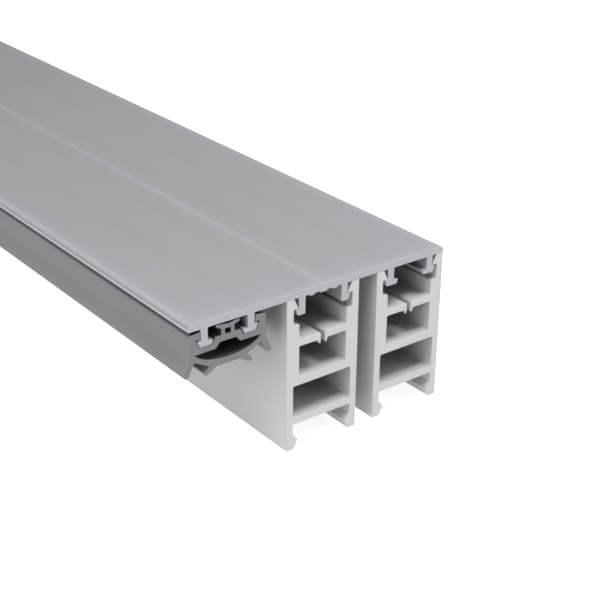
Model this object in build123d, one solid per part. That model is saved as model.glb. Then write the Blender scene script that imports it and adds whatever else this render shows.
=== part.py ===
from build123d import *
import os
from math import cos, radians, sin

# Edge joint for roof glazing, as it is sold by the length: an aluminium cover profile clipped onto
# two equal spacer profiles, with a rubber glazing gasket held under the cover's free flange.
# X runs across the joint, Y along its length and Z up. The origin lies on the floor, under the
# middle of the cover and of the length. All sizes are in millimetres.

length = 2000.0

# Cover profile. Its legs come in three pairs, and each leg ends in a foot that a clip grips.
cover_width = 60.0
plate_thickness = 1.5
plate_edge_radius = 1.2
groove_width = 0.5
groove_depth = 0.25
leg_gap = 8.5
leg_thickness = 1.5
leg_depth = 3.55
foot_height = 1.35
foot_reach = 0.8
foot_setback = 0.6
inner_foot_height = 0.95
inner_foot_reach = 1.1
inner_foot_setback = 0.35
foot_corner_radius = 0.15

# Ribs under the plate, between the middle legs, that steady a drill which comes through the groove.
rib_height = 0.3
centre_rib_width = 1.8
centre_notch_width = 0.35
side_rib_width = 1.3
side_rib_offset = 2.7
rib_flank = 0.15

# Spacer profile.
spacer_depth = 32.0
spacer_wall = 1.55
upper_wall = 2.9
hook_mouth_wall = 1.7
hook_nose_height = 0.15
hook_clearance = 0.08
foot_clearance = 0.4
ledge_drop = 5.3
ledge_radius = 0.4
slotted_floor_drop = 8.5
slotted_floor_thickness = 1.5
slot_width = 1.0
slot_edge_radius = 0.5
slot_lip_width = 0.65
slot_lip_height = 0.8
slot_lip_crest = 0.1
middle_floor_drop = 16.4
middle_floor_thickness = 1.8
lower_floor_drop = 25.0
lower_floor_thickness = 1.5
chamber_corner_radius = 0.3
barb_reach = 1.15
barb_height = 2.0
barb_rise = 1.3
sole_width = 1.7
sole_chamfer = 0.25
sole_radius = 0.25

# Glazing gasket.
gasket_clearance = 0.15
leg_side_clearance = 0.25
gasket_side = 1.7
gasket_top_drop = 0.3
gasket_top_slope = 0.2
gasket_edge_radius = 0.5
web_drop = 2.4
web_thickness = 1.25
pocket_flare = 0.4
relief_depth = 0.1
relief_height = 0.3
relief_inset = 0.2
channel_floor_thickness = 1.0
channel_side = 0.35
channel_slope = 0.9
bulb_wall = 1.4
bulb_shoulder_inset = 3.4
bulb_shoulder_drop = 6.0
bulb_drop = 6.7
bulb_flank_bulge = 0.12
membrane_thickness = 1.45
membrane_flat = 6.1
membrane_side_drop = 6.15
membrane_side_inset = 1.15
membrane_side_rise = 0.7
outer_lip_inset = 0.6
outer_lip_root_drop = 5.75
outer_lip_lean = 24.5
outer_lip_length = 3.3
outer_lip_root = 1.4
outer_lip_tip = 1.1
inner_lip_offset = 3.22
inner_lip_root_drop = 7.95
inner_lip_lean = 56.0
inner_lip_length = 2.25
inner_lip_root = 1.3
inner_lip_tip = 0.9
lip_root_sink = 0.7
tip_roundness = 0.45
box_width = 2.85
box_wall = 0.8
box_roof = 0.8
box_roof_drop = 0.5
wing_span = 5.1
wing_rise = 0.35
wing_tip = 0.5
wing_root_drop = 1.05

# How far a cut runs on past the face that it opens.
cut_margin = 0.1

# Places that follow from those sizes. Heights in a section are counted from the plate's underside.
leg_inner = leg_gap / 2
leg_outer = leg_inner + leg_thickness
foot_tip = leg_outer + foot_reach
foot_top = leg_depth - foot_height
spacer_width = 2 * (foot_tip + foot_clearance + spacer_wall)
outer_pair = (cover_width - spacer_width) / 2
gasket_half = foot_tip + gasket_clearance + gasket_side


def region(*points):
    """Flat face inside the straight lines that join the points."""
    return make_face(Polyline(*points, close=True))


def block(half_width, top, bottom):
    """Rectangle as wide on both sides of the middle, between two heights."""
    return region((-half_width, top), (half_width, top), (half_width, bottom), (-half_width, bottom))


def both_sides(face):
    """The face and its mirror image across the middle."""
    return face + mirror(face, Plane.YZ)


def rounded(face, radius, is_corner):
    """The face with those corners rounded that the test picks."""
    return fillet([v for v in face.vertices() if is_corner(v)], radius)


def near(value, target):
    """Whether two places in the section are the same."""
    return abs(value - target) < 1e-6


def drawn_out(section):
    """Solid that the section leaves over the whole length, at its height over the floor."""
    placed = Plane(origin=(0, 0, spacer_depth), x_dir=(1, 0, 0), z_dir=(0, -1, 0)) * section
    return extrude(placed, amount=length / 2, both=True)


def cover_leg(has_inner_foot):
    """Right leg of a pair, with an outward foot and, under the flanges, an inward one too."""
    sole = -leg_depth
    leg = region(
        (leg_inner, 0),
        (leg_inner, sole),
        (foot_tip - foot_setback, sole),
        (foot_tip, -foot_top),
        (leg_outer, -foot_top),
        (leg_outer, 0),
    )
    if has_inner_foot:
        inner_top = inner_foot_height - leg_depth
        leg += region(
            (leg_inner, inner_top),
            (leg_inner - inner_foot_reach, inner_top),
            (leg_inner - inner_foot_reach + inner_foot_setback, sole),
            (leg_inner, sole),
        )
    return rounded(leg, foot_corner_radius, lambda v: v.X > leg_outer and not near(v.X, leg_outer)
                   or v.X < leg_inner and not near(v.X, leg_inner))


def drill_ribs():
    """Low ribs below the groove, between the middle pair of legs."""
    half = centre_rib_width / 2
    notch = centre_notch_width / 2
    centre = region((0, 0), (half, 0), (half - rib_flank, -rib_height), (notch, -rib_height),
                    (0, -rib_height / 2))
    near_edge = side_rib_offset - side_rib_width / 2
    far_edge = side_rib_offset + side_rib_width / 2
    side = region((near_edge, 0), (near_edge + rib_flank, -rib_height),
                  (far_edge - rib_flank, -rib_height), (far_edge, 0))
    return both_sides(centre) + both_sides(side)


def cover_section():
    """Plate with its rounded upper edges and drill groove, and the three pairs of legs."""
    plate = block(cover_width / 2, plate_thickness, 0)
    plate = rounded(plate, plate_edge_radius, lambda v: near(v.Y, plate_thickness))
    plate -= region((-groove_width / 2, plate_thickness), (0, plate_thickness - groove_depth),
                    (groove_width / 2, plate_thickness))
    flange_pair = both_sides(cover_leg(True))
    section = plate + both_sides(cover_leg(False)) + drill_ribs()
    return section + Pos(-outer_pair, 0) * flange_pair + Pos(outer_pair, 0) * flange_pair


def hook_chamber():
    """Open chamber that the legs snap into, from its mouth down to the slotted floor."""
    nose = leg_outer + hook_clearance
    pocket = spacer_width / 2 - spacer_wall
    nose_bottom = hook_clearance - foot_top
    chamber = region(
        (0, 0),
        (spacer_width / 2 - hook_mouth_wall, 0),
        (nose, nose_bottom + hook_nose_height),
        (nose, nose_bottom),
        (pocket, nose_bottom),
        (pocket, -ledge_drop),
        (spacer_width / 2 - upper_wall, -ledge_drop),
        (spacer_width / 2 - upper_wall, -slotted_floor_drop),
        (0, -slotted_floor_drop),
    )
    return rounded(chamber, ledge_radius, lambda v: near(v.X, spacer_width / 2 - upper_wall))


def slot_lip():
    """Small lip under the slotted floor, beside the slot, that the thread of a screw bites."""
    top = -slotted_floor_drop - slotted_floor_thickness
    return region((slot_width / 2, top), (slot_width / 2 + slot_lip_width, top),
                  (slot_width / 2 + slot_lip_crest, top - slot_lip_height))


def leg_barb():
    """Inward barb at the foot of a spacer leg, which clips over a base rail."""
    wall = spacer_width / 2 - spacer_wall
    low = -spacer_depth + barb_height
    return region(
        (wall, low + barb_rise),
        (wall - barb_reach, low),
        (spacer_width / 2 - sole_width - sole_chamfer, -spacer_depth + sole_chamfer),
        (spacer_width / 2 - sole_width, -spacer_depth),
        (wall, -spacer_depth),
    )


def spacer_section():
    """Tall hollow profile: hook chamber, slotted floor, two closed chambers and two barbed legs."""
    half = spacer_width / 2
    section = block(half, 0, -spacer_depth)
    section -= both_sides(hook_chamber())
    section -= block(slot_width / 2, cut_margin - slotted_floor_drop, -middle_floor_drop)
    section = rounded(section, slot_edge_radius,
                      lambda v: near(abs(v.X), slot_width / 2) and near(v.Y, -slotted_floor_drop))
    upper = block(half - upper_wall, -slotted_floor_drop - slotted_floor_thickness, -middle_floor_drop)
    lower = block(half - spacer_wall, -middle_floor_drop - middle_floor_thickness, -lower_floor_drop)
    base = block(half - spacer_wall, -lower_floor_drop - lower_floor_thickness, -spacer_depth)
    section -= rounded(upper, chamber_corner_radius, lambda v: True)
    section -= rounded(lower, chamber_corner_radius, lambda v: True)
    section -= rounded(base, chamber_corner_radius, lambda v: not near(v.Y, -spacer_depth))
    section += both_sides(slot_lip()) + both_sides(leg_barb())
    return rounded(section, sole_radius, lambda v: near(abs(v.X), half) and near(v.Y, -spacer_depth))


def lip(root_x, root_drop, lean, reach, root_width, tip_width):
    """Tapered rubber lip that leans outward from its root and ends in a round tip."""
    along = Vector(sin(radians(lean)), -cos(radians(lean)))
    across = Vector(-along.Y, along.X)
    root = Vector(root_x, -root_drop) - along * lip_root_sink
    tip = Vector(root_x, -root_drop) + along * reach
    corners = [root + across * root_width / 2, tip + across * tip_width / 2,
               tip - across * tip_width / 2, root - across * root_width / 2]
    face = region(*corners)
    return rounded(face, tip_roundness * tip_width, lambda v: (Vector(v) - root).dot(along) > reach)


def gasket_body():
    """Right half of the gasket without its lips: side, web, channel floor and bulb, as one blank."""
    inner = leg_outer + leg_side_clearance
    edge_height = -gasket_top_drop - gasket_top_slope
    body = region(
        (0, -web_drop),
        (inner, -web_drop),
        (inner, -gasket_top_drop),
        (gasket_half, edge_height),
        (gasket_half, membrane_side_rise - membrane_side_drop),
        (gasket_half - membrane_side_inset, -membrane_side_drop),
        (membrane_flat / 2, -bulb_drop - membrane_thickness),
        (0, -bulb_drop - membrane_thickness),
    )
    return rounded(body, gasket_edge_radius, lambda v: near(v.X, gasket_half) and near(v.Y, edge_height))


def foot_pocket():
    """Room in the right half for the T foot of a cover leg, with a small relief over the foot's tip."""
    left = leg_inner - inner_foot_reach - gasket_clearance
    right = foot_tip + gasket_clearance
    floor = -leg_depth - gasket_clearance
    inner = leg_outer + leg_side_clearance
    return region(
        (left - pocket_flare, cut_margin - web_drop),
        (left + inner_foot_setback, floor),
        (right - foot_setback, floor),
        (right, -foot_top - gasket_clearance),
        (right + relief_depth, relief_depth - foot_top),
        (foot_tip - relief_inset, relief_height - foot_top),
        (inner, gasket_clearance - foot_top),
        (inner, cut_margin - web_drop),
    )


def bulb_hollow():
    """Closed hollow between the channel floors and the sagging membrane, over the whole width."""
    floor = -leg_depth - gasket_clearance - channel_floor_thickness
    inner_edge = leg_inner - inner_foot_reach - gasket_clearance - channel_side
    roof = -web_drop - web_thickness
    tip = Vector(gasket_half - bulb_wall, floor)
    shoulder = Vector(gasket_half - bulb_shoulder_inset, -bulb_shoulder_drop)
    outward = Vector(tip.Y - shoulder.Y, shoulder.X - tip.X).normalized()
    flank_middle = (tip + shoulder) / 2 + outward * bulb_flank_bulge
    upper = Polyline((0, roof), (inner_edge - channel_slope, roof), (inner_edge, floor), tip)
    half = upper + ThreePointArc(tip, flank_middle, shoulder)
    belly = ThreePointArc(shoulder, (0, -bulb_drop), (-shoulder.X, shoulder.Y))
    return make_face(half + mirror(half, Plane.YZ) + belly)


def centre_box():
    """Small hollow box that stands on the web and spreads into two wings below the plate."""
    half = box_width / 2
    top = -box_roof_drop
    box = block(half, top, -web_drop - cut_margin) - block(half - box_wall, top - box_roof, -web_drop)
    wing_top = -box_roof_drop + wing_rise
    wing = region((0, top), (wing_span / 2, wing_top), (wing_span / 2, wing_top - wing_tip),
                  (half, -wing_root_drop), (0, -wing_root_drop))
    wing = rounded(wing, tip_roundness * wing_tip, lambda v: near(v.X, wing_span / 2))
    return box + both_sides(wing)


def gasket_section():
    """The whole gasket, drawn about the middle of the leg pair that holds it."""
    half = gasket_body() - foot_pocket()
    half += lip(gasket_half - outer_lip_inset, outer_lip_root_drop, outer_lip_lean, outer_lip_length,
                outer_lip_root, outer_lip_tip)
    half += lip(inner_lip_offset, inner_lip_root_drop, inner_lip_lean, inner_lip_length,
                inner_lip_root, inner_lip_tip)
    return both_sides(half) - bulb_hollow() + centre_box()


spacer = spacer_section()
pieces = {
    "cap_profile": cover_section(),
    "inner_spacer": spacer,
    "outer_spacer": Pos(outer_pair, 0) * spacer,
    "glazing_gasket": Pos(-outer_pair, 0) * gasket_section(),
}

os.makedirs("parts", exist_ok=True)
for name, section in pieces.items():
    solid = drawn_out(section)
    solid.label = name
    export_step(solid, f"parts/{name}.step")
    print(name, "section area", round(section.area, 2), "mm2, volume", round(solid.volume / 1000, 1), "cm3")
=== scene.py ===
# %% [markdown]
# # A glazing edge profile, sold by the length
# The object is an edge joint for roof glazing. A flat aluminium cover clips with three pairs of legs
# onto two equal hollow spacers of rigid PVC, and the pair under its free flange holds a finned rubber
# gasket. All four pieces are pushed through a die, so each one is a single section, the same all along.
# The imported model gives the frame. Everything below is built around it, in metres, and in its place:
# X runs across the joint, Y along it and Z up, with the photographed cut end at the low end of Y.

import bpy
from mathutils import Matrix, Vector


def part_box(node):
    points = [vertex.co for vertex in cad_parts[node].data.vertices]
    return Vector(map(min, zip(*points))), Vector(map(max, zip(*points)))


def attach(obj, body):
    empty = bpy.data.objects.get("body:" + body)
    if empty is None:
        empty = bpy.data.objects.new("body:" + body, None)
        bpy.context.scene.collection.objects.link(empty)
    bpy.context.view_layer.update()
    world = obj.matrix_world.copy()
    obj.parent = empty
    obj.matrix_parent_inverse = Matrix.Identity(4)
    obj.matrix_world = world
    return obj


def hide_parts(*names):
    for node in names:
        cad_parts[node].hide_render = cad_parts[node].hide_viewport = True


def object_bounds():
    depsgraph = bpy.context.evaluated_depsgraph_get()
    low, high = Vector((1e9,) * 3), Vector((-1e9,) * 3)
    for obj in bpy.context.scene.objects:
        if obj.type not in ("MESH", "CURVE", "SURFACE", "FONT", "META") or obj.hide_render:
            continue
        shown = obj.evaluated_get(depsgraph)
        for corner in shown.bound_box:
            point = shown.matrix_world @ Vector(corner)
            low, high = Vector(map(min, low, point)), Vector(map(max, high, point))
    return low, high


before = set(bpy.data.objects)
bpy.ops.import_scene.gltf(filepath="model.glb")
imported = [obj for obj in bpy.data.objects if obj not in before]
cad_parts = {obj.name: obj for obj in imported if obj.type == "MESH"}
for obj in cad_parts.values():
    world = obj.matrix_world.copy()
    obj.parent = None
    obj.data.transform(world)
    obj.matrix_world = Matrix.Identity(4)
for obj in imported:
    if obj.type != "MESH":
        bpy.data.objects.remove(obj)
cad_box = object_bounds()
print("packed pieces:", sorted(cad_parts), "from", tuple(cad_box[0]), "to", tuple(cad_box[1]))

# %% [markdown]
# ## Drawing in the section's own measure
# Drawings of such sections are in millimetres, so the code below is too. A place in a section is a
# pair: its distance from the piece's middle, and its height over the underside of the cover's plate,
# which is where the spacers end. One function turns such a pair into a point in the frame.

# %% From the drawing to the frame
import math

import bmesh
import bpy
from mathutils import Matrix, Vector

MM = 0.001
CLOSE = 0.002 * MM
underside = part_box("inner_spacer")[1].z
length = cad_box[1].y - cad_box[0].y


def spot(place):
    """Point in the frame for a place in the section, halfway along the profile."""
    across, height = place
    return Vector((across * MM, 0, underside + height * MM))


def apart(point, other):
    """How far two points are from each other as one looks along the profile."""
    return math.hypot(point.x - other.x, point.z - other.z)


print("plate underside at", round(underside, 5), "m; length", round(length, 4), "m")

# %% [markdown]
# ## Picking long faces and long edges
# A person at the screen clicks the face or edge to work on. Code picks it by its place instead. In a
# profile only two kinds matter: faces that run the whole length, found between two places of the
# section, and edges that run the whole length, found at one place.

# %% Picking in edit mode
def opened():
    """The mesh that is being edited."""
    return bmesh.from_edit_mesh(bpy.context.object.data)


def nothing_picked(kind):
    """Goes to picking faces, edges or corners, with none picked."""
    bpy.ops.mesh.select_mode(type=kind)
    bpy.ops.mesh.select_all(action="DESELECT")


def pick_faces(start, end):
    """Picks the long faces that lie on the straight line between two places."""
    nothing_picked("FACE")
    first, run = spot(start), spot(end) - spot(start)
    for face in opened().faces:
        middle = face.calc_center_median()
        middle.y = 0
        share = (middle - first).dot(run) / run.length_squared
        on_line = (middle - first - run * share).length < CLOSE
        flat_on = abs(face.normal.dot(run.normalized())) < 0.1 and abs(face.normal.y) < 0.5
        if on_line and flat_on and 0 < share < 1:
            face.select_set(True)
    bmesh.update_edit_mesh(bpy.context.object.data)


def pick_edges(*places):
    """Picks the long edges at those places."""
    nothing_picked("EDGE")
    points = [spot(place) for place in places]
    for edge in opened().edges:
        one, other = (corner.co for corner in edge.verts)
        is_long = abs(one.y - other.y) > length / 2
        if is_long and any(apart(one, point) < CLOSE and apart(other, point) < CLOSE for point in points):
            edge.select_set(True)
    bmesh.update_edit_mesh(bpy.context.object.data)


def keep_picked_at(place):
    """Of the corners that are picked, keeps only those at one place."""
    bpy.ops.mesh.select_mode(type="VERT")
    mesh = opened()
    for corner in mesh.verts:
        if corner.select and apart(corner.co, spot(place)) > CLOSE:
            corner.select_set(False)
    mesh.select_flush_mode()
    bmesh.update_edit_mesh(bpy.context.object.data)


# %% [markdown]
# ## The few moves that shape a profile
# A profile starts as one bar with the cube primitive, and is then worked in edit mode. A long face is
# cut with bisect, a wall or leg grows out of it with extrude, an edge is shifted to slant a face, and
# a long edge gets its radius with bevel. This keeps every flat flat, and the numbers are the drawing's.

# %% Moves on the bar
def bar(name, left, right, bottom, top):
    """New bar over the whole length, opened for editing."""
    bpy.ops.object.select_all(action="DESELECT")
    middle = spot(((left + right) / 2, (bottom + top) / 2))
    bpy.ops.mesh.primitive_cube_add(size=1, location=middle)
    piece = bpy.context.object
    piece.name = name
    piece.scale = ((right - left) * MM, length, (top - bottom) * MM)
    bpy.ops.object.transform_apply(location=True, rotation=False, scale=True)
    bpy.ops.object.mode_set(mode="EDIT")


def cut(start, end, *places):
    """Cuts the long faces between two places lengthwise, at each of the places given."""
    across = (spot(end) - spot(start)).normalized()
    for place in places:
        pick_faces(start, end)
        bpy.ops.mesh.bisect(plane_co=spot(place), plane_no=across, threshold=CLOSE)


def grow(start, end, *steps):
    """Extrudes the long faces between two places. Each step says where their two borders go."""
    for next_start, next_end in steps:
        pick_faces(start, end)
        run = spot(next_start) - spot(start)
        bpy.ops.mesh.extrude_region_move(TRANSFORM_OT_translate={"value": run})
        landed = (end[0] + next_start[0] - start[0], end[1] + next_start[1] - start[1])
        if apart(spot(landed), spot(next_end)) > CLOSE:
            keep_picked_at(landed)
            bpy.ops.transform.translate(value=spot(next_end) - spot(landed))
        start, end = next_start, next_end


def shift(place, to):
    """Moves the long edge at one place to another."""
    pick_edges(place)
    bpy.ops.transform.translate(value=spot(to) - spot(place))


def soften(radius, steps, *places):
    """Rounds the long edges at those places. The turn at each edge says how far back it starts."""
    for place in places:
        pick_edges(place)
        turn = max(edge.calc_face_angle() for edge in opened().edges if edge.select)
        reach = radius * MM * math.tan(turn / 2)
        bpy.ops.mesh.bevel(offset=reach, segments=steps, affect="EDGES", clamp_overlap=False)


# %% [markdown]
# ## From half a bar to a finished piece
# Each section is the same left and right, so only the right half is worked, and Mirror makes the
# other. The faces on the middle plane come off first, or they would stay inside as walls. Both ends
# are sawn: a saw leaves the rim a little broken, and that thin bright rim is what shows a cut end.

# %% Closing a half bar
END_RIM = 0.06
SMOOTH_BELOW = math.radians(26)


def join_flats():
    """Makes one face of all that lies flat side by side, such as the strips at each end."""
    bpy.ops.mesh.select_all(action="SELECT")
    bpy.ops.mesh.dissolve_limited(angle_limit=math.radians(0.3))


def open_middle():
    """Takes off the faces on the middle plane."""
    nothing_picked("FACE")
    for face in opened().faces:
        if abs(face.normal.x) > 0.9 and abs(face.calc_center_median().x) < CLOSE:
            face.select_set(True)
    bmesh.update_edit_mesh(bpy.context.object.data)
    bpy.ops.mesh.delete(type="FACE")


def break_rims():
    """Takes the sharpness off the sawn rims at both ends."""
    nothing_picked("EDGE")
    for edge in opened().edges:
        ends = [face for face in edge.link_faces if abs(face.normal.y) > 0.9]
        if len(edge.link_faces) == 2 and len(ends) == 1:
            edge.select_set(True)
    bmesh.update_edit_mesh(bpy.context.object.data)
    bpy.ops.mesh.bevel(offset=END_RIM * MM, segments=1, affect="EDGES", clamp_overlap=False)


def close_piece():
    """Mirrors the half bar, breaks its rims and leaves edit mode. Returns the finished piece."""
    bpy.ops.object.mode_set(mode="OBJECT")
    piece = bpy.context.object
    bpy.ops.object.modifier_add(type="MIRROR")
    piece.modifiers["Mirror"].merge_threshold = CLOSE
    bpy.ops.object.modifier_apply(modifier="Mirror")
    bpy.ops.object.mode_set(mode="EDIT")
    bpy.ops.mesh.select_all(action="SELECT")
    bpy.ops.mesh.normals_make_consistent(inside=False)
    break_rims()
    bpy.ops.object.mode_set(mode="OBJECT")
    bpy.ops.object.shade_smooth_by_angle(angle=SMOOTH_BELOW)
    return piece


def place_piece(piece, across, node):
    """Puts a finished piece in its place over the joint, in the stead of its CAD node."""
    bpy.ops.object.select_all(action="DESELECT")
    piece.select_set(True)
    bpy.context.view_layer.objects.active = piece
    bpy.ops.transform.translate(value=(across * MM, 0, 0))
    bpy.ops.object.transform_apply(location=True, rotation=False, scale=False)
    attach(piece, "root")
    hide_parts(node)
    print(piece.name, "stands for", node, "with", len(piece.data.polygons), "faces")


# %% [markdown]
# ## The cover
# The cover is a 60 mm plate, 1.5 mm thick, with rounded upper edges and a fine groove along its
# middle that guides the drill. Below it stand three pairs of T-footed legs. The half bar is the right
# half of the plate: the middle pair gives one leg, and the pair under the right flange both of its.

# %% Sizes of the cover
PLATE_HALF, PLATE_TOP, EDGE_RADIUS = 30, 1.5, 1.08
LEG_IN, LEG_OUT = 4.25, 5.75
FOOT_TOP, FOOT_SOLE = -2.2, -3.55
FOOT_TIP, FOOT_TOE = 6.55, 5.95
INNER_FOOT_TOP, INNER_FOOT_TIP, INNER_FOOT_TOE = -2.6, 3.15, 3.5
PAIR = 21.5
GROOVE_HALF, GROOVE_DEPTH = 0.25, 0.25
NOTCH_HALF, CENTRE_RIB_HALF = 0.175, 0.9
SIDE_RIB_IN, SIDE_RIB_OUT = 2.05, 3.35
RIB_SOLE, RIB_FLANK = -0.3, 0.15

# %% Plate, groove and ribs of the cover
bar("cover", 0, PLATE_HALF, 0, PLATE_TOP)
cut((0, PLATE_TOP), (PLATE_HALF, PLATE_TOP), (GROOVE_HALF, PLATE_TOP))
shift((0, PLATE_TOP), (0, PLATE_TOP - GROOVE_DEPTH))
legs = [PAIR - LEG_OUT, PAIR - LEG_IN, PAIR + LEG_IN, PAIR + LEG_OUT]
for edge in (NOTCH_HALF, CENTRE_RIB_HALF, SIDE_RIB_IN, SIDE_RIB_OUT, LEG_IN, LEG_OUT, *legs):
    cut((0, 0), (PLATE_HALF, 0), (edge, 0))
grow((0, 0), (CENTRE_RIB_HALF, 0), ((0, RIB_SOLE), (CENTRE_RIB_HALF - RIB_FLANK, RIB_SOLE)))
shift((0, RIB_SOLE), (0, RIB_SOLE / 2))
grow((SIDE_RIB_IN, 0), (SIDE_RIB_OUT, 0),
     ((SIDE_RIB_IN + RIB_FLANK, RIB_SOLE), (SIDE_RIB_OUT - RIB_FLANK, RIB_SOLE)))
print("cover blank:", len(opened().faces), "faces")


# %% [markdown]
# The legs grow out of the strips cut on the plate's underside, down to the foot and on to the sole.
# The foot then grows sideways with a slanted toe, so that it slips into the clip and catches behind it.

# %% Legs of the cover
def cover_leg(middle, side, inner_foot):
    """One leg beside the middle of its pair, on the side given as 1 or -1, with its T foot."""
    def at(across, height):
        return (middle + side * across, height)

    grow(at(LEG_IN, 0), at(LEG_OUT, 0),
         (at(LEG_IN, FOOT_TOP), at(LEG_OUT, FOOT_TOP)),
         (at(LEG_IN, FOOT_SOLE), at(LEG_OUT, FOOT_SOLE)))
    grow(at(LEG_OUT, FOOT_TOP), at(LEG_OUT, FOOT_SOLE), (at(FOOT_TIP, FOOT_TOP), at(FOOT_TOE, FOOT_SOLE)))
    if inner_foot:
        cut(at(LEG_IN, FOOT_TOP), at(LEG_IN, FOOT_SOLE), at(LEG_IN, INNER_FOOT_TOP))
        grow(at(LEG_IN, INNER_FOOT_TOP), at(LEG_IN, FOOT_SOLE),
             (at(INNER_FOOT_TIP, INNER_FOOT_TOP), at(INNER_FOOT_TOE, FOOT_SOLE)))
        return [at(INNER_FOOT_TIP, INNER_FOOT_TOP), at(INNER_FOOT_TOE, FOOT_SOLE),
                at(FOOT_TIP, FOOT_TOP), at(FOOT_TOE, FOOT_SOLE)]
    return [at(LEG_IN, FOOT_SOLE), at(FOOT_TIP, FOOT_TOP), at(FOOT_TOE, FOOT_SOLE)]


foot_corners = cover_leg(0, 1, False) + cover_leg(PAIR, -1, True) + cover_leg(PAIR, 1, True)
leg_roots = [(LEG_IN, 0), (LEG_OUT, 0)] + [(edge, 0) for edge in legs]
open_middle()
join_flats()
soften(0.15, 4, *foot_corners)
soften(0.2, 4, *leg_roots)
soften(0.4, 6, (PLATE_HALF, 0))
soften(EDGE_RADIUS, 10, (PLATE_HALF, PLATE_TOP))
cover = close_piece()
place_piece(cover, 0, "cap_profile")

# %% [markdown]
# ## The spacers
# A spacer is a tall box, 17 mm wide and 32 mm high. Its open top takes the cover's legs, which snap
# under two hooked noses. Below come a slotted floor that screws bite into, two closed chambers, and
# two barbed legs that clip onto a base rail. The half bar is the right wall, and the floors grow out
# of it to the middle. Both spacers are the same piece, so the second one is a copy of the first.

# %% Sizes of the spacer
SPACER_HALF, SPACER_SOLE = 8.5, -32
WALL_IN, UPPER_WALL_IN = 6.95, 5.6
LEDGE = -5.3
SLOT_FLOOR = (-8.5, -10)
MIDDLE_FLOOR = (-16.4, -18.2)
LOWER_FLOOR = (-25, -26.5)
SLOT_HALF, LIP_OUT, LIP_TIP = 0.5, 1.15, -10.8
MOUTH, NOSE = (6.8, 0), (5.83, -2.12)
BARB_TOP = -28.7
BARB_TIP, BARB_TOE, SOLE_IN = (5.8, -30), (6.55, -31.75), (6.8, SPACER_SOLE)

# %% Walls and floors of the spacer
bar("inner_spacer_pvc", WALL_IN, SPACER_HALF, SPACER_SOLE, 0)
for height in (NOSE[1], LEDGE, *MIDDLE_FLOOR, *LOWER_FLOOR, BARB_TOP, BARB_TIP[1], BARB_TOE[1]):
    cut((WALL_IN, 0), (WALL_IN, SPACER_SOLE), (WALL_IN, height))
grow((WALL_IN, 0), (WALL_IN, NOSE[1]), (MOUTH, NOSE))
grow((WALL_IN, LEDGE), (WALL_IN, MIDDLE_FLOOR[1]),
     ((UPPER_WALL_IN, LEDGE), (UPPER_WALL_IN, MIDDLE_FLOOR[1])))
for height in SLOT_FLOOR:
    cut((UPPER_WALL_IN, LEDGE), (UPPER_WALL_IN, MIDDLE_FLOOR[0]), (UPPER_WALL_IN, height))
top, bottom = SLOT_FLOOR
grow((UPPER_WALL_IN, top), (UPPER_WALL_IN, bottom),
     ((LIP_OUT, top), (LIP_OUT, bottom)), ((SLOT_HALF, top), (SLOT_HALF, bottom)))
grow((SLOT_HALF, bottom), (LIP_OUT, bottom), ((0.6, LIP_TIP), (0.85, LIP_TIP)))
for wall, (top, bottom) in ((UPPER_WALL_IN, MIDDLE_FLOOR), (WALL_IN, LOWER_FLOOR)):
    grow((wall, top), (wall, bottom), ((0, top), (0, bottom)))
for corner in (BARB_TIP, BARB_TOE, SOLE_IN):
    shift((WALL_IN, corner[1]), corner)
print("spacer blank:", len(opened().faces), "faces")

# %% [markdown]
# The radii come last, when every flat is in place. The die maker rounds the inner corners so that the
# soft plastic flows into them, and the ledge and the slot get larger radii that guide leg and screw.

# %% Radii of the spacer, and its copy
open_middle()
join_flats()
soften(0.4, 6, (UPPER_WALL_IN, LEDGE), (UPPER_WALL_IN, SLOT_FLOOR[0]))
soften(0.5, 7, (SLOT_HALF, SLOT_FLOOR[0]))
soften(0.3, 5, (UPPER_WALL_IN, SLOT_FLOOR[1]), (UPPER_WALL_IN, MIDDLE_FLOOR[0]), (WALL_IN, MIDDLE_FLOOR[1]),
       (WALL_IN, LOWER_FLOOR[0]), (WALL_IN, LOWER_FLOOR[1]))
soften(0.25, 5, (SPACER_HALF, SPACER_SOLE))
soften(0.15, 4, (SPACER_HALF, 0), MOUTH, (WALL_IN, NOSE[1]), (WALL_IN, LEDGE), BARB_TIP, (WALL_IN, BARB_TOP))
inner_spacer = close_piece()
bpy.ops.object.duplicate(linked=False)
outer_spacer = bpy.context.object
outer_spacer.name = "outer_spacer_pvc"
place_piece(inner_spacer, 0, "inner_spacer")
place_piece(outer_spacer, PAIR, "outer_spacer")

# %% [markdown]
# ## The gasket
# The gasket is the piece that takes the most care. Its two pockets close round the T feet of the left
# pair of legs. A thin web joins them and carries a small hollow box with two wings, which presses
# against the plate. Below hangs a hollow bulb with four lips that seal against the glazing. The half
# bar is the right side wall, and everything else grows from it as a chain of strips: up round the
# foot, along the channel floor to the web and the box, and down round the bulb to the middle.

# %% Sizes of the gasket
SIDE_IN, SIDE_OUT, SIDE_TOP, SIDE_SOLE = 7.0, 8.2, -0.5, -4.7
RIM = (SIDE_OUT, -0.8)
ARM_UNDER, TOE_ROOM, POCKET_FLOOR = -2.1, -2.35, -3.7
ARM_ROOT, ARM_TIP, ARM_TOP = (6.6, -1.85), (5.88, -2.1), (5.9, SIDE_TOP)
POCKET_OUT, POCKET_IN, POCKET_TOP = (6.03, -3.63), (3.42, -3.63), (2.654, -2.4)
ROOF_OUT, ROOF_IN = (2.65, -4.7), (1.75, -3.65)
WEB_TOP, WEB_UNDER = -2.4, -3.65
BOX_OUT, BOX_IN, BOX_CEILING = 1.425, 0.625, -1.3
WING_ROOT = -1.05
WING_LOW, WING_HIGH = (2.55, -0.65), (2.55, -0.15)

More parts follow.
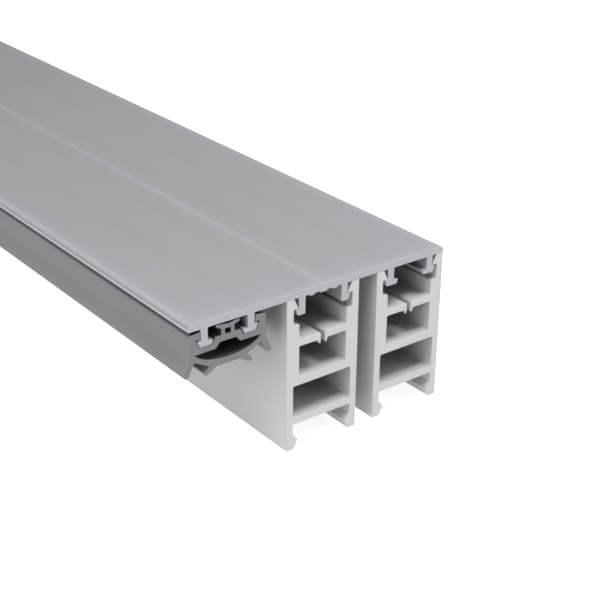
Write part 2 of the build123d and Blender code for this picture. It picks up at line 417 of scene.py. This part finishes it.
# %% Side wall, foot pocket and web of the gasket
bar("gasket_rubber", SIDE_IN, SIDE_OUT, SIDE_SOLE, SIDE_TOP)
for height in (POCKET_FLOOR, TOE_ROOM, ARM_UNDER):
    cut((SIDE_IN, SIDE_SOLE), (SIDE_IN, SIDE_TOP), (SIDE_IN, height))
arm_end = (6.0, -0.35)
arm_middle = (6.48, -1.55)
grow((SIDE_IN, ARM_UNDER), (SIDE_IN, SIDE_TOP), (ARM_ROOT, arm_end))
cut(ARM_ROOT, arm_end, arm_middle)
shift(arm_middle, ARM_TIP)
shift(arm_end, ARM_TOP)
shift((SIDE_IN, SIDE_TOP), (SIDE_IN, -0.6))
shift((SIDE_OUT, SIDE_TOP), RIM)
shift((SIDE_IN, ARM_UNDER), (6.85, -2.05))
shift((SIDE_IN, TOE_ROOM), (6.63, -2.33))
shift((SIDE_IN, POCKET_FLOOR), POCKET_OUT)
grow(POCKET_OUT, (SIDE_IN, SIDE_SOLE),
     (POCKET_IN, ROOF_OUT), (POCKET_TOP, ROOF_IN), ((BOX_OUT, WEB_TOP), (BOX_OUT, WEB_UNDER)),
     ((BOX_IN, WEB_TOP), (BOX_IN, WEB_UNDER)), ((0, WEB_TOP), (0, WEB_UNDER)))
print("gasket so far:", len(opened().faces), "faces")

# %% Box and wings of the gasket
box_top_out, box_top_in = (BOX_OUT, -0.304), (BOX_IN, -0.414)
grow((BOX_OUT, WEB_TOP), (BOX_IN, WEB_TOP),
     ((BOX_OUT, BOX_CEILING), (BOX_IN, BOX_CEILING)), ((BOX_OUT, WING_ROOT), (BOX_IN, WING_ROOT)),
     (box_top_out, box_top_in))
grow((BOX_IN, BOX_CEILING), box_top_in, ((0, BOX_CEILING), (0, -0.5)))
grow((BOX_OUT, WING_ROOT), box_top_out, (WING_LOW, WING_HIGH))

# %% [markdown]
# The bulb's membrane sags to the middle, so its inner side follows a wide arc in short strips, and a
# small bevel on each joint between them makes the curve smooth. Out of its underside grow two long
# sealing lips at the sides and two short fins further in.

# %% Bulb and lips of the gasket
ARC = ((6.1, -5.65), (5.0, -6.25), (3.4, -6.66), (1.7, -6.9), (0, -6.98))
SEAL_OUT, SEAL_IN = (SIDE_OUT, -5.45), (7.25, -6.15)
FIN_OUT, FIN_IN = (3.922, -7.82), (2.366, -8.25)
SEAL_TIPS = ((9.669, -8.525), (8.668, -8.981))
FIN_TIPS = ((5.337, -8.835), (4.834, -9.581))
belly = (SEAL_OUT, SEAL_IN, FIN_OUT, FIN_IN, (0, FIN_IN[1]))
grow((SIDE_IN, SIDE_SOLE), (SIDE_OUT, SIDE_SOLE), *zip(ARC, belly))
grow(SEAL_OUT, SEAL_IN, SEAL_TIPS)
grow(FIN_OUT, FIN_IN, FIN_TIPS)
shift((SIDE_IN, SIDE_SOLE), (7.2, -4.75))
print("gasket blank:", len(opened().faces), "faces")

# %% Radii of the gasket
open_middle()
join_flats()
soften(0.49, 8, *SEAL_TIPS)
soften(0.4, 8, *FIN_TIPS)
soften(0.35, 6, RIM)
soften(0.22, 5, WING_LOW, WING_HIGH)
soften(0.25, 4, SEAL_IN, FIN_OUT, FIN_IN, ROOF_OUT, ROOF_IN)
soften(4, 8, SEAL_OUT)
soften(0.15, 4, POCKET_IN, POCKET_OUT, POCKET_TOP, (BOX_OUT, WEB_TOP), ARM_TOP)
soften(5, 5, *ARC[:2])
soften(16, 5, *ARC[2:4])
gasket = close_piece()
place_piece(gasket, -PAIR, "glazing_gasket")

# %% [markdown]
# ## Writing materials as sums
# Every surface here is a pattern computed from its place on the piece, so it needs many small maths
# nodes. One class wraps a socket, so that a plain sum in Python adds the Math nodes it stands for, and
# one method adds any other node. Places are read in millimetres, from Object coordinates.

# %% A socket that can be used in sums
class Wire:
    """One value in a material. Sums, products and powers written with it become Math nodes."""

    def __init__(self, recipe, socket):
        self.recipe, self.socket = recipe, socket

    def maths(self, operation, first, second=0.0):
        return self.recipe.node("Math", {"operation": operation}, {0: first, 1: second})

    def __add__(self, other):
        return self.maths("ADD", self, other)

    def __sub__(self, other):
        return self.maths("SUBTRACT", self, other)

    def __rsub__(self, other):
        return self.maths("SUBTRACT", other, self)

    def __mul__(self, other):
        return self.maths("MULTIPLY", self, other)

    def __truediv__(self, other):
        return self.maths("DIVIDE", self, other)

    def __pow__(self, other):
        return self.maths("POWER", self, other)

    def __gt__(self, other):
        return self.maths("GREATER_THAN", self, other)

    def __abs__(self):
        return self.maths("ABSOLUTE", self)

    __radd__, __rmul__ = __add__, __mul__


class Recipe:
    """The nodes of one material, made through node() alone."""

    def __init__(self, name):
        self.material = bpy.data.materials.new(name)
        self.material.use_nodes = True
        self.tree = self.material.node_tree
        self.shader = self.tree.nodes["Principled BSDF"]

    def fill(self, socket, value):
        """Links a socket to a wire, or sets it to a number, a colour or a vector."""
        if isinstance(value, Wire):
            self.tree.links.new(value.socket, socket)
        else:
            socket.default_value = value

    def node(self, kind, settings, sockets, output=0):
        """Adds a node of that kind, sets it, then fills its sockets. Returns one of its outputs."""
        node = self.tree.nodes.new("ShaderNode" + kind)
        for name, value in settings.items():
            setattr(node, name, value)
        for name, value in sockets.items():
            self.fill(node.inputs[name], value)
        return Wire(self, node.outputs[output])

    def finish(self, **sockets):
        """Fills the shader's own sockets, named with _ for a space, and returns the material."""
        for name, value in sockets.items():
            self.fill(self.shader.inputs[name.replace("_", " ")], value)
        print("material", self.material.name, "with", len(self.tree.nodes), "nodes")
        return self.material


# %% [markdown]
# ## What the die and the saw leave behind
# Two things mark all four pieces. The die draws fine lines along the length, so that pattern changes
# quickly across the section and hardly at all along it. The saw leaves shallow arcs on the cut ends,
# rings about the blade's axle, which stood well below the piece. Both are noise read at a bent place.

# %% Patterns that all the materials share
def scaled(recipe, vector, by):
    """The vector or colour with all its parts multiplied by one number."""
    return recipe.node("VectorMath", {"operation": "SCALE"}, {0: vector, "Scale": by})


def places(recipe):
    """Place on the piece in millimetres, as a vector and as its three parts."""
    vector = scaled(recipe, recipe.node("TexCoord", {}, {}, "Object"), 1 / MM)
    parts = [recipe.node("SeparateXYZ", {}, {0: vector}, name) for name in "XYZ"]
    return vector, parts


def stretched(recipe, vector, by):
    """The vector with its three parts multiplied, so that a pattern is drawn out or squeezed."""
    return recipe.node("VectorMath", {"operation": "MULTIPLY"}, {0: vector, 1: by})


def noise(recipe, vector, detail):
    """Soft noise from 0 to 1 with a grain of about one unit of the vector."""
    return recipe.node("TexNoise", {}, {"Vector": vector, "Scale": 1.0, "Detail": detail})


def die_lines(recipe, vector, per_mm):
    """Lines along the length, so many to a millimetre across the section."""
    return noise(recipe, stretched(recipe, vector, (per_mm, 0.003, per_mm)), 3.0)


def saw_arcs(recipe, parts):
    """Rings about the axle of the saw, as the cut ends show them."""
    across, along, up = parts
    axle_across, axle_up = 70, -140
    reach = ((across - axle_across) ** 2 + (up - axle_up) ** 2) ** 0.5
    rings = recipe.node("CombineXYZ", {}, {"X": reach * 2.5, "Y": along * 0.01})
    return noise(recipe, rings, 3.0)


def on_cut_end(parts):
    """1 on the sawn ends and their broken rims, 0 elsewhere."""
    return abs(parts[1]) > (length / 2 / MM - 1.5 * END_RIM)


def blend(recipe, share, one, other):
    """Colour between two others, by a share from 0 to 1."""
    return recipe.node("Mix", {"data_type": "RGBA"}, {0: share, 6: one, 7: other}, 2)


def grey(level, blue=1.0):
    """Colour of that grey level, a little cooler where blue is over 1."""
    return (level, level, level * blue, 1.0)


def relief(recipe, height, depth_mm):
    """Normal of a surface with that height pattern, so many millimetres deep."""
    return recipe.node("Bump", {}, {"Height": height, "Strength": 1.0, "Distance": depth_mm * MM})


# %% [markdown]
# ## Aluminium
# The cover is bare extruded aluminium with a satin skin: a cool grey with fine die lines, which
# scatters nearly all the light that meets it and mirrors next to nothing. Over each leg the metal
# cooled more slowly, and a faint darker band shows on the flat top. The sawn end is bright fresh
# metal. A painted highlight lightens the skin towards the cut, along the rounded edges and in the
# groove, and each rounded edge carries a painted highlight line and a painted shade line on its side.

# %% Aluminium
SATIN = (0.388, 0.387, 0.396, 1.0)
# A lighter copy of the satin grey, used for the painted highlight.
HIGHLIGHT_SATIN = (0.447, 0.441, 0.464, 1.0)
FRESH = (0.475, 0.469, 0.497, 1.0)
BAND_CENTRES, BAND_HALF = (5, 16.5, 26.5), 2.4
# How far in millimetres the painted highlight reaches from the cut and from the rounded edges.
HIGHLIGHT_FROM_CUT, HIGHLIGHT_FROM_ROUND = 4, 2
# Height and half width of the painted highlight line and the painted shade line on each rounded edge.
HIGHLIGHT_LINE_HEIGHT, HIGHLIGHT_LINE_HALF = 0.45, 0.3
SHADE_LINE_HEIGHT, SHADE_LINE_HALF = 0.95, 0.25


def ridge(value, centre, half):
    """1 where the value is at the centre, falling off smoothly to a quarter at the half width."""
    offset = (value - centre) / half
    return (1 + offset * offset) ** -2


recipe = Recipe("satin_aluminium")
vector, parts = places(recipe)
cut_end = on_cut_end(parts)
fine, wide = die_lines(recipe, vector, 9), die_lines(recipe, vector, 0.9)
side = abs(parts[0])
height = parts[2] - underside / MM
bands = sum(ridge(side, centre, BAND_HALF) for centre in BAND_CENTRES)
flat_half = PLATE_HALF - EDGE_RADIUS
on_round = side > flat_half
to_round = abs(side - flat_half) * (1 - on_round)
to_cut = length / 2 / MM - abs(parts[1])
# Painted highlight: the skin is lighter near the cut, next to the rounded edges and in the groove.
cut_and_round_highlight = (1 + to_cut / HIGHLIGHT_FROM_CUT) ** -2 + (1 + to_round / HIGHLIGHT_FROM_ROUND) ** -2
painted_highlight = cut_and_round_highlight + 0.8 * ridge(side, 0, 0.6)
# Painted highlight and painted shade: a lighter line low on each rounded edge, a darker line above it, and
# the whole round a little lighter.
bright, shade_line = ridge(height, HIGHLIGHT_LINE_HEIGHT, HIGHLIGHT_LINE_HALF), ridge(height, SHADE_LINE_HEIGHT, SHADE_LINE_HALF)
edge_highlight_and_shade = (0.2 * bright - 0.38 * shade_line + 0.09) * on_round
# The groove's light line is a painted highlight. The darker bands over the legs and the die lines are the
# metal's own.
streaks_and_groove_highlight = 0.13 * ridge(side, 0, 0.5) - 0.02 * bands + 0.02 * (wide - 0.5) + 0.03 * (fine - 0.5)
arcs = saw_arcs(recipe, parts)
skin = scaled(recipe, blend(recipe, painted_highlight, SATIN, HIGHLIGHT_SATIN), 1 + streaks_and_groove_highlight + edge_highlight_and_shade)
sawn = scaled(recipe, FRESH[:3], 0.96 + 0.08 * arcs)
aluminium = recipe.finish(
    Base_Color=blend(recipe, cut_end, skin, sawn), Metallic=0.18, Specular_IOR_Level=0.0,
    Roughness=0.44 + 0.1 * (fine - 0.5) + 0.04 * bands - 0.06 * cut_end,
    Normal=relief(recipe, fine * (1 - cut_end) + arcs * cut_end, 0.004))
cover.data.materials.append(aluminium)

# %% [markdown]
# ## Rigid PVC
# The spacers are matt light grey PVC. Its skin has a slight waxy sheen and faint die lines, and the
# resin is a little uneven. On the sawn ends the plastic is rougher and a touch paler.

# %% Rigid PVC
RESIN, SAWN_RESIN = grey(0.635), grey(0.65)

recipe = Recipe("rigid_pvc")
vector, parts = places(recipe)
cut_end = on_cut_end(parts)
lines, arcs = die_lines(recipe, vector, 4), saw_arcs(recipe, parts)
clouds = noise(recipe, stretched(recipe, vector, (0.08, 0.02, 0.08)), 3.0)
speckle = noise(recipe, stretched(recipe, vector, (5, 5, 5)), 2.0)
skin = scaled(recipe, RESIN[:3], 1 + 0.03 * (lines - 0.5) + 0.05 * (clouds - 0.5))
sawn = scaled(recipe, SAWN_RESIN[:3], 0.97 + 0.06 * arcs)
pvc = recipe.finish(
    Base_Color=blend(recipe, cut_end, skin, sawn),
    Roughness=0.5 + 0.1 * (speckle - 0.5) + 0.12 * cut_end,
    Normal=relief(recipe, lines * (1 - cut_end) + (arcs + speckle) * cut_end, 0.006))
for spacer in (inner_spacer, outer_spacer):
    spacer.data.materials.append(pvc)

# %% [markdown]
# ## Rubber
# The gasket is soft grey rubber with next to no gloss. A pale bloom lies on it in clouds, and the die
# lines are soft and wide, because rubber swells as it leaves the die. Bloom needs air and light, so the
# fresh cut is darker. The top rim just under the plate is darker with painted shade, for the shadow in
# the narrow gap there. The hollows are darkest: painted shade there stands for the light that dies out
# inside, and next to no bloom forms in them.

# %% Rubber
RUBBER, BLOOM = grey(0.217, 1.03), grey(0.27, 1.03)
MEMBRANE_MIDDLE, MEMBRANE_BEND, HOLLOW_HALF = -7.4, 0.036, 7.6
# Height and half width of the painted shade on the top rim just under the plate.
SHADED_RIM_HEIGHT, SHADED_RIM_HALF = -0.3, 0.5

recipe = Recipe("grey_rubber")
vector, parts = places(recipe)
cut_end = on_cut_end(parts)
lines, arcs = die_lines(recipe, vector, 2.5), saw_arcs(recipe, parts)
clouds = noise(recipe, stretched(recipe, vector, (0.2, 0.05, 0.2)), 4.0)
grain = noise(recipe, stretched(recipe, vector, (9, 9, 9)), 2.0)
side, height = abs(parts[0] + PAIR), parts[2] - underside / MM
membrane = MEMBRANE_BEND * side ** 2 + MEMBRANE_MIDDLE
# Painted shade inside the bulb's hollow, for the light that dies out there. Next to no bloom forms there
# either.
inside = (height > membrane) * (1 - (side > HOLLOW_HALF))
# Painted shade on the top rim just under the plate, for the shadow in the narrow gap there.
rim_shade = ridge(height, SHADED_RIM_HEIGHT, SHADED_RIM_HALF)
skin = 1 - cut_end
bloomed = blend(recipe, 0.6 * clouds + 0.2 * grain, RUBBER, BLOOM)
tone = (1 - 0.1 * cut_end) * (1 - 0.8 * skin * rim_shade) * (1 - 0.82 * skin * inside)
rubber = recipe.finish(
    Base_Color=scaled(recipe, bloomed, tone),
    Roughness=0.72 + 0.12 * (grain - 0.5),
    Normal=relief(recipe, lines + 0.6 * grain + arcs * cut_end, 0.01))
gasket.data.materials.append(rubber)

# %% [markdown]
# ## Floor and sky
# The photograph is a catalogue picture: white all round, and light so soft that no shadow has an edge.
# A pale floor carries the object. To the eye and in reflections floor and sky are white, which Light
# Path tells apart from the light they give, so the object itself is lit at a plain level. The floor
# gives a small share of that light, as a light table does, and the sky a smaller one.

# %% Floor and sky
def seen_rays(recipe):
    """1 for rays from the camera, from gloss and through glass, 0 for those that carry light."""
    kinds = ("Is Camera Ray", "Is Glossy Ray", "Is Transmission Ray")
    camera_ray, gloss_ray, glass_ray = (recipe.node("LightPath", {}, {}, kind) for kind in kinds)
    return camera_ray + gloss_ray + glass_ray


FLOOR_LIGHT = 0.2
bpy.ops.object.select_all(action="DESELECT")
bpy.ops.mesh.primitive_plane_add(size=12, location=(0, 0, cad_box[0].z))
floor = bpy.context.object
floor.name = "floor"
recipe = Recipe("pale_floor")
floor.data.materials.append(recipe.finish(
    Base_Color=grey(0.8), Roughness=0.9, Emission_Strength=1.0,
    Emission_Color=blend(recipe, seen_rays(recipe), grey(FLOOR_LIGHT), grey(0.78))))

SKY_LIGHT = 0.04
world = bpy.data.worlds.new("white_sky")
bpy.context.scene.world = world
world.use_nodes = True
world.cycles.max_bounces = 1


class SkyRecipe(Recipe):
    """The nodes of the sky, which has a background in the place of a material's shader."""

    def __init__(self, world):
        self.material, self.tree = world, world.node_tree
        self.shader = self.tree.nodes["Background"]


recipe = SkyRecipe(world)
recipe.finish(Color=grey(1), Strength=SKY_LIGHT + (1 - SKY_LIGHT) * seen_rays(recipe))

# %% [markdown]
# ## Lamps
# Four soft lamps share the work. A square panel hangs close above each cut end, so the top grows darker
# with distance from it. A broad light from the left reaches in under the flange, and another from the
# right opens up the cut face. Their light bounces only once, which leaves the hollow chambers dark.

# %% Lamps
def soft_lamp(kind, name, azimuth, elevation, light, spread, distance=10.0, end=cad_box[0].y):
    """Lamp aimed at a cut end, the near one if none is given. Light 1 shows a facing colour as written."""
    around, up = math.radians(azimuth), math.radians(elevation)
    away = Vector((math.sin(around) * math.cos(up), -math.cos(around) * math.cos(up), math.sin(up)))
    bpy.ops.object.select_all(action="DESELECT")
    bpy.ops.object.light_add(type=kind, location=Vector((0, end, underside)) + away * distance)
    lamp = bpy.context.object
    lamp.name = name
    lamp.rotation_euler = away.to_track_quat("Z", "Y").to_euler()
    lamp.data.cycles.max_bounces = 1
    if kind == "SUN":
        lamp.data.energy, lamp.data.angle = light * math.pi, math.radians(spread)
    else:
        lamp.data.energy, lamp.data.size = light * (math.pi * distance) ** 2, spread
    print(name, round(lamp.data.energy, 2))


soft_lamp("AREA", "near_panel", 0, 75, 0.65, 0.1, distance=0.33)
soft_lamp("AREA", "far_panel", 165, 50, 0.6, 0.1, distance=0.33, end=cad_box[1].y)
soft_lamp("SUN", "left_light", -87, 30, 0.48, 60)
soft_lamp("SUN", "right_light", 60, 22, 0.45, 60)

# %% [markdown]
# ## Camera
# The camera stands where the photograph was taken from, found from the straight edges of the section
# and of the length: in front of the cut end, to its left and above it, with a long lens.

# %% Camera
FOCAL_PIXELS, IMAGE_PIXELS = 1301.27, 600
bpy.ops.object.select_all(action="DESELECT")
bpy.ops.object.camera_add()
camera = bpy.context.object
stand = Matrix.Translation((-0.136429, -1.169496, 0.134098))
turn = Matrix.Rotation(math.radians(-37.6658), 4, "Z")
tilt = Matrix.Rotation(math.radians(90 - 25.5854), 4, "X")
roll = Matrix.Rotation(math.radians(0.6145), 4, "Z")
camera.matrix_world = stand @ turn @ tilt @ roll
camera.data.sensor_width = 36
camera.data.lens = camera.data.sensor_width * FOCAL_PIXELS / IMAGE_PIXELS
camera.data.clip_start, camera.data.clip_end = 0.01, 50
bpy.context.scene.camera = camera
bpy.context.scene.view_settings.view_transform = "Standard"
print("lens", round(camera.data.lens, 2), "mm")
